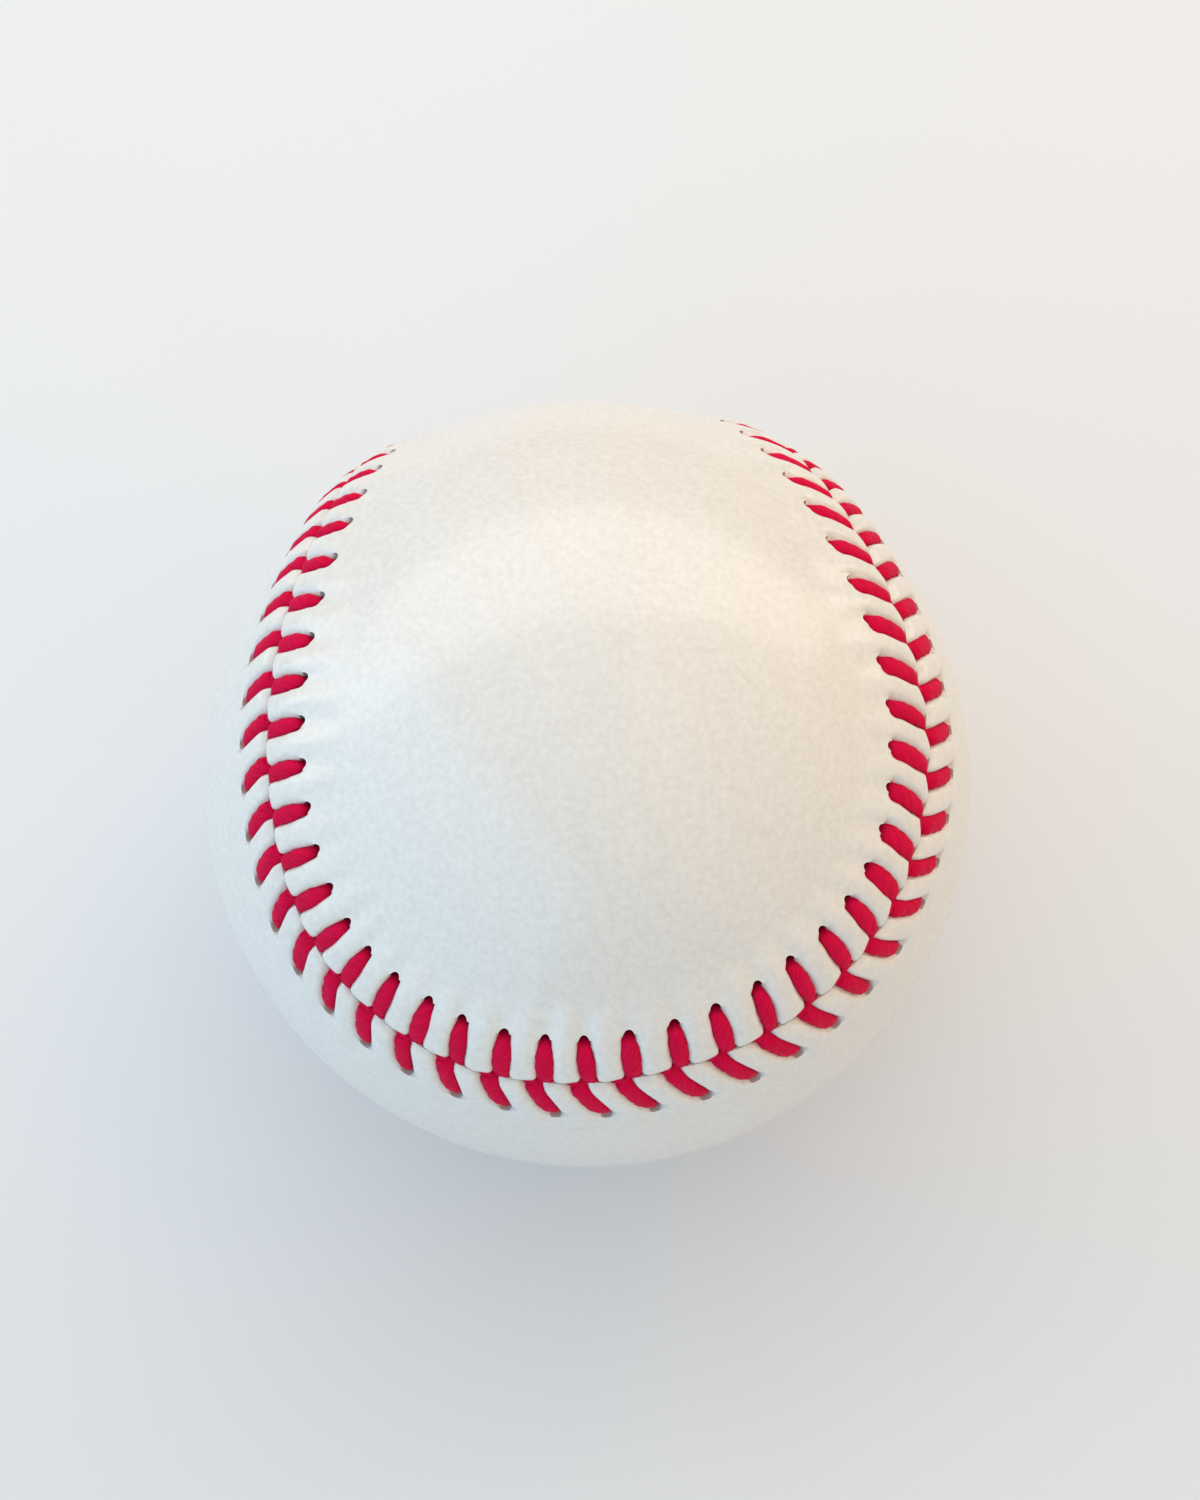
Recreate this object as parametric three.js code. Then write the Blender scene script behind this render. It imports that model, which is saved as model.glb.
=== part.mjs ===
// A baseball, built as the real one is: a cork and rubber pill, four yarn windings, and a cover
// of two figure-eight leather panels, laced edge to edge by two waxed threads.
// Millimetres, +Z up, origin at the centre of the ball. Panel A has a lobe facing +Z, another
// facing -Z and its neck facing +Y. Panel B has lobes facing +X and -X and its neck facing -Y.
import * as THREE from "three";
import { mergeVertices } from "three/addons/utils/BufferGeometryUtils.js";

// Whole ball
const BALL_DIAMETER = 73.5; // over the plain leather, away from the seam
const CLEARANCE = 0.2; // between pieces that touch on the real ball

// Pill
const CORK_DIAMETER = 20.6;
const BLACK_RUBBER = 4; // wall of the two inner cups
const RED_RUBBER = 2.4; // wall of the two outer shells
const WASHER_THICKNESS = 0.9; // red ring between the rims of the black cups

// Windings, from the outside in: the first one fills the rest, down to the pill
const FINISH_WINDING = 0.6;
const THIRD_WINDING = 2.2;
const SECOND_WINDING = 1.8;
const TUCK_OPENING = 3; // across the small opening in each winding where its yarn end is tucked in

// Cover
const LEATHER = 1.2;
const NECK_WIDTH = 35.2; // from seam to seam across a panel's neck
const SEAM_SWING = THREE.MathUtils.degToRad(23.5); // sideways swing that makes the lobes round
const SEAM_RIPPLE = THREE.MathUtils.degToRad(0.8); // small second swing on top of it
const SEAM_RISE = 1; // how far the laced edges stand above the plain leather
const SPINE_REACH = 0.14; // share of the seam, each way from the neck, that a panel's middle line faces

// Lacing
const STITCHES = 108;
const THREAD_DIAMETER = 1.2; // where it is round, in the stitch holes
const LEG_THICKNESS = 0.7; // pulled flat over the leather
const RUN_THICKNESS = 0.5; // pressed flat under the leather
const DIVE_THICKNESS = 0.4; // squeezed between the panels' edges
const HOLE_DISTANCE = 4.75; // from the seam to the middle of a stitch hole
const HOLE_LEAD = 0.33; // holes lie this share of a pitch ahead of their V's point
const DIVE_STEP = 0.25; // the two legs of a V dive this share of a pitch before and after its point
const FIRST_STITCH = 0.4; // share of a pitch from the seam's start to the first V

// Facets
const BALL_DETAIL = 2; // splits of an icosahedron's edges, for the balls of yarn and cork
const CUP_SIDES = 14;
const CUP_STEPS = 4; // from rim to pole
const SPINE_STEPS = 18; // along a panel's middle line
const FILL_ROWS = 2; // rows of points between the stitch holes and that line
const SEAM_SAMPLES = 20 * STITCHES;

const FINISHES = {
  leather: { color: 0xe8e1d6, roughness: 0.55 },
  thread: { color: 0xb3152c, roughness: 0.5 },
  cork: { color: 0xb08a5a, roughness: 0.9 },
  blackRubber: { color: 0x1f1f21, roughness: 0.7 },
  redRubber: { color: 0x9a2b2a, roughness: 0.6 },
  greyWool: { color: 0x8f8b86, roughness: 1 },
  whiteWool: { color: 0xe4ddce, roughness: 1 },
  cotton: { color: 0xf0ece2, roughness: 1 },
};

// Closed seam between the two panels, on a ball of radius 1. It waves twice round the Y axis.
class SeamCurve extends THREE.Curve {
  getPoint(share, target = new THREE.Vector3()) {
    const wave = 4 * Math.PI * share;
    const neckAngle = NECK_WIDTH / BALL_DIAMETER;
    const fromNeck = Math.PI / 2 - (Math.PI / 2 - neckAngle) * Math.cos(wave);
    const turn = wave / 2 + SEAM_SWING * Math.sin(2 * wave) + SEAM_RIPPLE * Math.sin(4 * wave);
    const reach = Math.sin(fromNeck);
    return target.set(reach * Math.cos(turn), Math.cos(fromNeck), -reach * Math.sin(turn));
  }
}

const seam = new SeamCurve();
seam.arcLengthDivisions = SEAM_SAMPLES;
const ballRadius = BALL_DIAMETER / 2;
const pitch = (seam.getLength() * ballRadius) / STITCHES;
const seamGap = DIVE_THICKNESS + 2 * CLEARANCE;
const holeReach = THREAD_DIAMETER / 2 + CLEARANCE * Math.SQRT2;

// A closed surface, collected point by point and triangle by triangle.
class Surface {
  constructor(mirrored = false) {
    this.mirrored = mirrored;
    this.points = [];
    this.corners = [];
  }

  addPoint(point) {
    this.points.push(point);
    return this.points.length - 1;
  }

  addFace(a, b, c, inward = false) {
    this.corners.push(...(this.mirrored !== inward ? [a, c, b] : [a, b, c]));
  }

  // Wall between two matching closed rows of points, each seen in its own order.
  addWall(row, otherRow) {
    row.forEach((a, i) => {
      const next = (i + 1) % row.length;
      this.addFace(a, row[next], otherRow[next]);
      this.addFace(a, otherRow[next], otherRow[i]);
    });
  }

  // Band between two closed rows that hold different numbers of points. The first row is evenly
  // spaced, and innerTurn gives the share of the way round at which the inner row reaches a point.
  addBand(row, innerRow, inward, innerTurn = (j) => j / innerRow.length) {
    let i = 0;
    let j = 0;
    while (i < row.length || j < innerRow.length) {
      const a = row[i % row.length];
      const b = innerRow[j % innerRow.length];
      const innerIsDone = j === innerRow.length;
      const rowIsNext = i < row.length && (i + 1) / row.length <= innerTurn(j + 1);
      if (innerIsDone || rowIsNext) {
        i += 1;
        this.addFace(a, row[i % row.length], b, inward);
      } else {
        j += 1;
        this.addFace(a, innerRow[j % innerRow.length], b, inward);
      }
    }
  }

  geometry() {
    const made = new THREE.BufferGeometry().setFromPoints(this.points);
    made.setIndex(this.corners);
    made.computeVertexNormals();
    return made;
  }
}

// Directions at a place on the cover: out of the ball, along the seam, and towards panel A.
// The station counts stitch pitches along the seam, and across is the distance from it.
function coverFrame(station, across) {
  const share = THREE.MathUtils.euclideanModulo(station / STITCHES, 1);
  const onSeam = seam.getPointAt(share);
  const along = seam.getTangentAt(share);
  const toPanelA = new THREE.Vector3().crossVectors(onSeam, along);
  const turn = new THREE.Quaternion().setFromAxisAngle(along, -across / ballRadius);
  const out = onSeam.clone().applyQuaternion(turn);
  const sideways = toPanelA.applyQuaternion(turn);
  return { out, along, sideways };
}

// Share of the seam at the end of a panel's first lobe, where its rows of points start.
// The seam passes the panel's neck a quarter and three quarters of the way on from there.
function lobeEnd(hand) {
  return hand > 0 ? 1 / 4 : 0;
}

function holeStation(index, hand) {
  return Math.round(lobeEnd(hand) * STITCHES) + index + FIRST_STITCH + HOLE_LEAD;
}

// Point on a panel's middle line that squarely faces the seam this share of the way round it.
function spineDirection(share, hand) {
  const fromNeck = THREE.MathUtils.euclideanModulo(share - lobeEnd(hand), 1 / 2) - 1 / 4;
  const reached = THREE.MathUtils.clamp(fromNeck, -SPINE_REACH, SPINE_REACH);
  const faced = THREE.MathUtils.euclideanModulo(share - fromNeck + reached, 1);
  const direction = seam.getPointAt(faced);
  direction[hand > 0 ? "x" : "z"] = 0;
  return direction.normalize();
}

// Share of the way round a panel at which its middle line, walked there and back, reaches a point.
function spineTurn(step) {
  const wayThere = step <= SPINE_STEPS;
  const place = wayThere ? step : 2 * SPINE_STEPS - step;
  const fromNeck = SPINE_REACH * ((2 * place) / SPINE_STEPS - 1);
  return wayThere ? 1 / 4 + fromNeck : 3 / 4 - fromNeck;
}

// Fills a panel's face from its row of stitch holes to its middle line.
function addPanelFill(surface, hand, farRow, radius, inward) {
  const farEdge = HOLE_DISTANCE + holeReach;
  const count = Math.round(STITCHES / 2);
  let row = farRow;
  for (let fillRow = 1; fillRow <= FILL_ROWS; fillRow++) {
    const inset = fillRow / (FILL_ROWS + 1);
    const nextRow = [];
    for (let i = 0; i < count; i++) {
      const station = holeStation((i * STITCHES) / count, hand);
      const { out } = coverFrame(station, hand * farEdge);
      const spinePoint = spineDirection(station / STITCHES, hand);
      const point = out.lerp(spinePoint, inset).setLength(radius);
      nextRow.push(surface.addPoint(point));
    }
    surface.addBand(row, nextRow, inward);
    row = nextRow;
  }
  const spine = [];
  for (let i = 0; i <= SPINE_STEPS; i++) {
    const share = lobeEnd(hand) + spineTurn(i);
    spine.push(surface.addPoint(spineDirection(share, hand).setLength(radius)));
  }
  const wayBack = spine.slice(1, -1).reverse();
  surface.addBand(row, [...spine, ...wayBack], inward, spineTurn);
}

// Smallest distance from the centre to any of these triangles.
function leastDepth(points, corners) {
  const centre = new THREE.Vector3();
  const nearest = new THREE.Vector3();
  let depth = Infinity;
  for (let i = 0; i < corners.length; i += 3) {
    const face = [...corners.slice(i, i + 3)].map((corner) => points[corner]);
    new THREE.Triangle(...face).closestPointToPoint(centre, nearest);
    depth = Math.min(depth, nearest.length());
  }
  return depth;
}

// How deep a panel's flat facets dip, on a ball of radius 1.
function panelDepth(hand) {
  const surface = new Surface();
  const farRow = [];
  for (let i = 0; i < STITCHES; i++) {
    const { out } = coverFrame(holeStation(i, hand), hand * (HOLE_DISTANCE + holeReach));
    farRow.push(surface.addPoint(out));
  }
  addPanelFill(surface, hand, farRow, 1, false);
  return leastDepth(surface.points, surface.corners);
}

// Levels round the seam, worked outwards from the yarn: the thread runs on the yarn, and the
// leather at the stitch holes lies on that thread.
const yarnRadius = (ballRadius - LEATHER) * Math.min(panelDepth(1), panelDepth(-1)) - CLEARANCE;
const runLength = Math.hypot(HOLE_DISTANCE, (1 + HOLE_LEAD + DIVE_STEP) * pitch);
const runSag = runLength ** 2 / (8 * yarnRadius);
const runRadius = yarnRadius + CLEARANCE + runSag + RUN_THICKNESS / 2;
const holeRadius = runRadius + RUN_THICKNESS / 2 + CLEARANCE + LEATHER;
const edgeRadius = ballRadius + SEAM_RISE;
const diveWidth = 2 * DIVE_STEP * pitch - CLEARANCE;

// One face of a panel, with its stitch holes: the outer face, or the inner one at LEATHER depth.
function addPanelFace(surface, hand, depth) {
  const inward = depth > 0;
  const place = (station, across, radius) => {
    const { out } = coverFrame(station, hand * across);
    return surface.addPoint(out.setLength(radius - depth));
  };
  const edge = [];
  const holes = [];
  for (let i = 0; i < STITCHES; i++) {
    const station = holeStation(i, hand);
    const halfHole = holeReach / pitch;
    edge.push(place(station - 1 / 2, seamGap / 2, edgeRadius));
    holes.push({
      near: place(station, HOLE_DISTANCE - holeReach, holeRadius),
      right: place(station + halfHole, HOLE_DISTANCE, holeRadius),
      far: place(station, HOLE_DISTANCE + holeReach, ballRadius),
      left: place(station - halfHole, HOLE_DISTANCE, holeRadius),
    });
  }
  holes.forEach((hole, i) => {
    const next = (i + 1) % STITCHES;
    const nextHole = holes[next];
    surface.addFace(edge[i], edge[next], hole.near, inward);
    surface.addFace(edge[i], hole.near, hole.left, inward);
    surface.addFace(edge[next], hole.right, hole.near, inward);
    surface.addFace(edge[next], nextHole.left, hole.right, inward);
    surface.addFace(hole.right, nextHole.left, nextHole.far, inward);
    surface.addFace(hole.right, nextHole.far, hole.far, inward);
  });
  const farRow = holes.map((hole) => hole.far);
  addPanelFill(surface, hand, farRow, ballRadius - depth, inward);
  return { edge, holes };
}

// Figure-eight leather panel with a row of stitch holes along its raised edge.
function coverPanel(hand) {
  const surface = new Surface(hand < 0);
  const outer = addPanelFace(surface, hand, 0);
  const inner = addPanelFace(surface, hand, LEATHER);
  surface.addWall(outer.edge.toReversed(), inner.edge.toReversed());
  outer.holes.forEach((hole, i) => {
    surface.addWall(Object.values(hole), Object.values(inner.holes[i]));
  });
  return surface.geometry();
}

// Four-sided cross-section of the thread: wide along the seam, thin in the plane of its bends.
function addSection(surface, frame, radius, width, outShare, sideShare) {
  const centre = frame.out.clone().setLength(radius);
  const wide = frame.along.clone().setLength(width / 2);
  const thin = frame.out.clone().multiplyScalar(outShare / 2);
  thin.addScaledVector(frame.sideways, sideShare / 2);
  return [
    surface.addPoint(centre.clone().add(wide)),
    surface.addPoint(centre.clone().add(thin)),
    surface.addPoint(centre.clone().sub(wide)),
    surface.addPoint(centre.clone().sub(thin)),
  ];
}

// One leg of a V: up through the panel's hole, over its edge and down between the panels.
function addStitch(surface, station, hand) {
  const hole = coverFrame(station + HOLE_LEAD, hand * HOLE_DISTANCE);
  const dive = coverFrame(station + hand * DIVE_STEP, 0);
  const aboveLeather = CLEARANCE + LEG_THICKNESS / 2;
  const holeTop = holeRadius + aboveLeather;
  const diveTop = edgeRadius + aboveLeather;
  const leg = hand * LEG_THICKNESS;
  const run = hand * RUN_THICKNESS;
  return [
    addSection(surface, hole, runRadius, THREAD_DIAMETER, -run, THREAD_DIAMETER),
    addSection(surface, hole, holeTop, THREAD_DIAMETER, leg, THREAD_DIAMETER),
    addSection(surface, dive, diveTop, diveWidth, leg, -DIVE_THICKNESS),
    addSection(surface, dive, runRadius, diveWidth, run, -DIVE_THICKNESS),
  ];
}

// One continuous thread: every second leg of each panel, under the leather from hole to hole.
function lacingThread(offset) {
  const surface = new Surface();
  const sections = [];
  for (let i = 0; i < STITCHES; i++) {
    const hand = (i + offset) % 2 === 0 ? 1 : -1;
    sections.push(...addStitch(surface, i + FIRST_STITCH, hand));
  }
  sections.slice(1).forEach((section, i) => surface.addWall(sections[i], section));
  const [start, end] = [sections.at(0).toReversed(), sections.at(-1)];
  for (const [a, b, c, d] of [start, end]) {
    surface.addFace(a, b, c);
    surface.addFace(a, c, d);
  }
  return surface.geometry();
}

// Ball of evenly spread triangles, with its shared points merged.
function roundBall(radius) {
  const ball = new THREE.IcosahedronGeometry(radius, BALL_DETAIL);
  ball.deleteAttribute("normal");
  ball.deleteAttribute("uv");
  return mergeVertices(ball);
}

function pointsOf(geometry) {
  const { position } = geometry.attributes;
  const points = [];
  for (let i = 0; i < position.count; i++) {
    points.push(new THREE.Vector3().fromBufferAttribute(position, i));
  }
  return points;
}

// Hollow ball of yarn, with a small three-sided opening where its end is tucked in.
function winding(outerRadius, innerRadius) {
  const surface = new Surface();
  const ball = roundBall(1);
  const corners = ball.index.array;
  const opening = [];
  for (const radius of [outerRadius, innerRadius]) {
    const inward = radius === innerRadius;
    const places = pointsOf(ball).map((point) => surface.addPoint(point.setLength(radius)));
    for (let i = 3; i < corners.length; i += 3) {
      const face = [...corners.slice(i, i + 3)].map((corner) => places[corner]);
      surface.addFace(...face, inward);
    }
    const rim = [...corners.slice(0, 3)].map((corner) => places[corner]);
    const middle = new THREE.Vector3();
    rim.forEach((corner) => middle.addScaledVector(surface.points[corner], 1 / 3));
    const hole = rim.map((corner) => {
      const away = surface.points[corner].clone().sub(middle).setLength(TUCK_OPENING / 2);
      return surface.addPoint(away.add(middle));
    });
    rim.forEach((corner, i) => {
      const next = (i + 1) % 3;
      surface.addFace(corner, rim[next], hole[next], inward);
      surface.addFace(corner, hole[next], hole[i], inward);
    });
    opening.push(hole);
  }
  surface.addWall(...opening);
  return surface.geometry();
}

// Turns a profile of [distance from the axis, height] points round the Z axis.
function turned(profile) {
  const points = profile.map(([across, height]) => new THREE.Vector2(across, height));
  return new THREE.LatheGeometry(points, CUP_SIDES).rotateX(Math.PI / 2);
}

// Points of an arc from a height above the middle plane up to the pole.
function arcToPole(radius, height) {
  const start = Math.asin(height / radius);
  const points = [];
  for (let i = 0; i < CUP_STEPS; i++) {
    const angle = start + ((Math.PI / 2 - start) * i) / CUP_STEPS;
    points.push([radius * Math.cos(angle), radius * Math.sin(angle)]);
  }
  points.push([0, radius]);
  return points;
}

// Half of a hollow ball, with a flat rim at the given height.
function cup(outerRadius, innerRadius, rimHeight) {
  const inner = arcToPole(innerRadius, rimHeight).reverse();
  return turned([...inner, ...arcToPole(outerRadius, rimHeight)]);
}

// Flat ring that fills the slot between the two black cups.
function washer(outerRadius, innerRadius) {
  const half = WASHER_THICKNESS / 2;
  const corners = [[innerRadius, half], [innerRadius, -half], [outerRadius, -half], [outerRadius, half]];
  return turned([...corners, corners[0]]);
}

// Radius of a faceted cup's hollow whose flats just clear a ball of this radius.
function hollowRound(radius) {
  const facetShare = Math.cos(Math.PI / CUP_SIDES) * Math.cos(Math.PI / (4 * CUP_STEPS));
  return (radius + CLEARANCE) / facetShare;
}

// Radius of a ball of yarn's hollow whose flats just clear a ball of this radius.
function hollowInYarn(radius) {
  const ball = roundBall(1);
  return (radius + CLEARANCE) / leastDepth(pointsOf(ball), ball.index.array);
}

function piece(name, geometry, finish) {
  const material = new THREE.MeshStandardMaterial(finish);
  const mesh = new THREE.Mesh(geometry, material);
  mesh.name = name;
  return mesh;
}

// Cork core in two black cups, with the red washer between their rims.
function innerPill(cupInner, cupOuter) {
  const group = new THREE.Group();
  const rimHeight = WASHER_THICKNESS / 2 + CLEARANCE;
  const cupShape = cup(cupOuter, cupInner, rimHeight);
  const upper = piece("black_rubber_cup_upper", cupShape, FINISHES.blackRubber);
  const lower = piece("black_rubber_cup_lower", cupShape, FINISHES.blackRubber);
  lower.rotation.x = Math.PI;
  group.add(piece("cork_core", roundBall(CORK_DIAMETER / 2), FINISHES.cork));
  group.add(upper, lower);
  group.add(piece("red_rubber_washer", washer(cupOuter, cupInner), FINISHES.redRubber));
  return group;
}

// Two red half shells round the inner pill, whose own joint is turned square to theirs.
function pill(cupInner, cupOuter, shellInner, shellOuter) {
  const group = new THREE.Group();
  const shellShape = cup(shellOuter, shellInner, CLEARANCE / 2);
  const upper = piece("red_rubber_shell_upper", shellShape, FINISHES.redRubber);
  const lower = piece("red_rubber_shell_lower", shellShape, FINISHES.redRubber);
  lower.rotation.x = Math.PI;
  const inside = innerPill(cupInner, cupOuter);
  inside.rotation.x = Math.PI / 2;
  group.add(upper, lower, inside);
  return group;
}

// Four balls of yarn, one round another, down to the pill.
function windings(pillRadius) {
  const group = new THREE.Group();
  const layers = [
    ["finish_winding", FINISH_WINDING, FINISHES.cotton],
    ["third_winding", THIRD_WINDING, FINISHES.greyWool],
    ["second_winding", SECOND_WINDING, FINISHES.whiteWool],
  ];
  let outside = yarnRadius;
  for (const [name, thickness, finish] of layers) {
    group.add(piece(name, winding(outside, outside - thickness), finish));
    outside -= thickness + CLEARANCE;
  }
  group.add(piece("first_winding", winding(outside, hollowInYarn(pillRadius)), FINISHES.greyWool));
  return group;
}

function cover() {
  const group = new THREE.Group();
  group.add(piece("cover_panel_a", coverPanel(1), FINISHES.leather));
  group.add(piece("cover_panel_b", coverPanel(-1), FINISHES.leather));
  group.add(piece("thread_a", lacingThread(0), FINISHES.thread));
  group.add(piece("thread_b", lacingThread(1), FINISHES.thread));
  return group;
}

const cupInner = hollowRound(CORK_DIAMETER / 2);
const cupOuter = cupInner + BLACK_RUBBER;
const shellInner = hollowRound(cupOuter);
const shellOuter = shellInner + RED_RUBBER;

const baseball = new THREE.Group();
baseball.add(pill(cupInner, cupOuter, shellInner, shellOuter));
baseball.add(windings(shellOuter));
baseball.add(cover());

export default baseball;
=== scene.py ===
import math

import bmesh
import bpy
import numpy as np
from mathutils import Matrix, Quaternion, Vector, geometry

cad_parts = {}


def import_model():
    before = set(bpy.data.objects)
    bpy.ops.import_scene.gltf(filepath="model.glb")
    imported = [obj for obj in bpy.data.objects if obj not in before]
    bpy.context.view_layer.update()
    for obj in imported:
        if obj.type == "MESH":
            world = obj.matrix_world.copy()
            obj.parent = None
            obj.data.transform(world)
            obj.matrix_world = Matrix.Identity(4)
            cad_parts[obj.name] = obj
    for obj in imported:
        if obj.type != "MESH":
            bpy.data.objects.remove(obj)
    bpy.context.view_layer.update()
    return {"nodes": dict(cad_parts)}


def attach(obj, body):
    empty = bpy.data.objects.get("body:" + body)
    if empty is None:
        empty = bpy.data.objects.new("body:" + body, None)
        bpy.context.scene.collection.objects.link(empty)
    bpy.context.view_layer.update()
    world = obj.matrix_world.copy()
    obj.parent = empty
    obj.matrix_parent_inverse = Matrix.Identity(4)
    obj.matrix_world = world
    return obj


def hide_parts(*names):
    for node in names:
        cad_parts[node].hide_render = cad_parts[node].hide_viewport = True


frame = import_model()

MM = 0.001
SEED = 108

# Cover, as in the CAD model
BALL_RADIUS = 36.75
LEATHER = 1.2
NECK_WIDTH = 35.2
NECK_ANGLE = NECK_WIDTH / (2 * BALL_RADIUS)
SEAM_SWING = math.radians(23.5)
SEAM_RIPPLE = math.radians(0.8)
STITCHES = 108
FIRST_STITCH = 0.4
HOLE_DISTANCE = 4.75
SEAM_SAMPLES = 40 * STITCHES

# Raised edges of the panels
SEAM_RISE = 0.75
RISE_START = 8.6  # from the seam, where the leather starts to rise
RISE_END = 2.2
EDGE_ROLL = 0.35  # how far the very edge rolls down into the seam
EDGE_REACH = 1.1
EDGE_GAP = 0.05  # half of the gap between the panels, where no thread holds them apart
THREAD_GAP = 0.07  # more of it, each side, where threads dive
THREAD_GAP_POWER = 4  # how short that place is along the seam
GAP_REACH = 2  # from the seam, where the gap no longer pushes the leather
PILLOW_RISE = 0.2  # swell of the leather between two legs
PILLOW_SCATTER = 0.2
PILLOW_START = 0.8  # from the seam, where it is full
PILLOW_FADE = 2.5  # and the length over which it ends
SHOULDER_SLOPE = 1.6  # of the leather beside a leg that is pulled tight
FOLD_SOFTNESS = 0.12
LEAST_LEATHER = 0.5  # thickness left where a leg is pulled tight
UNEVENNESS = 0.04
WAVES = 10  # that make up this unevenness
WAVE_RATE = 0.12  # radians for each millimetre

# Stitch holes
HOLE_WIDTH = {1: 1.1, -1: 0.95}  # on panel A and on panel B
HOLE_LENGTH = {1: 1.8, -1: 1.2}
HOLE_LEAN = math.radians(35)
HOLE_EDGE = 0.6  # length past a hole's middle over which its leg stops pressing the leather
HOLE_BLEND = 1.2  # share of a hole's size over which the grid round it turns even again
PAINTED_HOLE_SHADE_A = {62: 0.3, 68: 0.8, 75: 1.0, 90: 1.0, 94: 0.4}  # painted shade and dirt on their walls: 0 is the skin's colour, 1 is the darkest
PAINTED_HOLE_SHADE_B = 0.25
LOBE_MIDDLE = 80  # stitch at the end of the lobe that faces up
HOLE_SCATTER = 0.025
DIVE_STEP = 0.15

# Hand-sewn unevenness, at a few stitches: shares of a pitch by which holes and dives lie ahead, and
# millimetres by which holes lie away from the seam, and the seam towards panel A
HOLES_AHEAD_A = {
    60: 0.40, 66: 0.43, 68: 0.32, 72: 0.31, 77: 0.0, 78: 0.05,
    80: -0.09, 82: 0.0, 84: 0.18, 87: 0.5, 91: 0.54, 95: 0.42,
}
HOLES_AHEAD_B = {60: 0.40, 70: 0.48, 76: 0.23, 79: 0.38, 84: 0.52, 88: 0.38, 92: 0.12, 97: 0.25}
HOLES_AWAY_A = {
    60: 3.3, 64: 3.6, 69: 3.85, 72: 4.25, 76: 4.6, 80: 4.3, 82: 4.4,
    85: 5.0, 89: 4.4, 91: 4.7, 92: 4.4, 96: 4.2, 102: 4.75,
}
HOLES_AWAY_B = {60: 4.4, 69: 4.0, 73: 4.5, 78: 4.15, 83: 5.0, 88: 4.7, 97: 5.1, 102: 4.75}
DIVES_AHEAD = {
    60: 0.30, 66: 0.29, 70: 0.17, 75: 0.05, 78: 0.0,
    81: -0.17, 84: 0.01, 86: 0.20, 89: 0.05, 97: -0.14,
}
SEAM_SCALLOPS = {60: 0.1, 84: 0.15, 88: 0.5, 96: 0.5, 100: 0.2}  # bulge of panel A's edge between two dives
SCALLOP_REACH = 2.5
SEAM_ASIDE = {
    60: 0.0, 64: 0.7, 70: 0.9, 74: -0.3, 78: -0.9,
    82: 0.35, 87: 0.4, 92: -0.7, 97: 0.3, 100: 0.0,
}

# Legs of the lacing
LEG_WIDTH_A = {60: 1.45, 85: 1.5, 89: 1.65, 92: 1.65, 97: 1.55, 102: 1.5}  # on panel A
LEG_WIDTH_B = 1.5
WIDTH_SCATTER = 0.05
HOLE_TAPER = {60: 0.4, 82: 0.35, 86: 0.3, 89: 0.1, 97: 0.1, 102: 0.35}  # share of width lost at the hole
HOLE_TAPER_START = 0.6  # share of the way from the seam to the hole
HOLE_TAPER_LENGTH = 0.45
SEAM_TAPER_A = {60: 0.15, 82: 0.2, 87: 0.35, 97: 0.35, 102: 0.2}  # and at the seam, on panel A
SEAM_TAPER_B = 0.05
SEAM_TAPER_LENGTH = 0.5
LEG_END_A = {62: 0.0, 66: 0.4, 82: 0.5, 87: 0.5, 90: 0.3, 93: 0.0, 98: 0.0}  # from a hole's middle
LEG_END_B = 0.1
LEG_THICKNESS = 0.75
LEG_PROUD = 0.1  # over the leather's ridge
DIVE_DROP = 0.5
DIVE_REACH = 0.5
HOLE_DROP = 0.4
HOLE_DROP_REACH = 1.1
LEG_ROWS = (3.8, 3.2, 2.5, 1.7, 1.0, 0.45)  # points of a leg after its end: distances from the seam
RUN_DEPTH = 1.4  # of the thread under the leather
RUN_WIDTH = 1.0
RUN_THICKNESS = 0.5
RUN_LEAD = 0.12  # share of a pitch by which it lies behind a hole that it comes to
RUN_ASIDE = 0.4  # and millimetres towards the seam
RISER_DEPTH = 0.8  # of the thread that comes up through a hole
RISER_ASIDE = 0.15  # away from the seam
RISER_THICKNESS = 0.8
DIVE_ROWS = (  # share of a pitch past the dive, distance under the other panel, height, width, thickness
    (0, -0.05, 0.2, 1.4, 0.45),
    (0, 0.02, -0.5, 1.1, 0.4),
    (0.05, 0.5, -1.15, 1.0, 0.45),
    (0.4, 2.0, -RUN_DEPTH, RUN_WIDTH, RUN_THICKNESS),
)
PLIES = 4
PLY_RELIEF = 0.05
PLY_LAY = 5.0  # length of one turn of the twist

# Inside of the ball
CLEARANCE = 0.2
YARN_SHARE = 0.8  # of its width, for how thick a pressed yarn is
YARN_SINK = 0.5  # share of its thickness by which the last turn of yarn lies higher than the first
AXIS_TURNS = (0.618, 0.3247)  # rounds of the ball about two axes, as it is wound, for every few turns of yarn
YARN_TURNS = 10  # that these rounds are for
CORK_GRAINS = 900
GRAIN_RELIEF = 0.25
GRAIN_SCATTER = 0.04  # radians, as is the joint between two grains
GRAIN_JOINT = 0.03
RIM_ROUNDING = 0.3  # on the rubber pieces
WINDINGS = (  # node, material slot, width of the yarn, turns that lie on top
    ("first_winding", "grey_wool", 2.2, 60),
    ("second_winding", "white_wool", 1.6, 84),
    ("third_winding", "grey_wool", 1.6, 90),
    ("finish_winding", "cotton_yarn", 0.7, 140),
)

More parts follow.
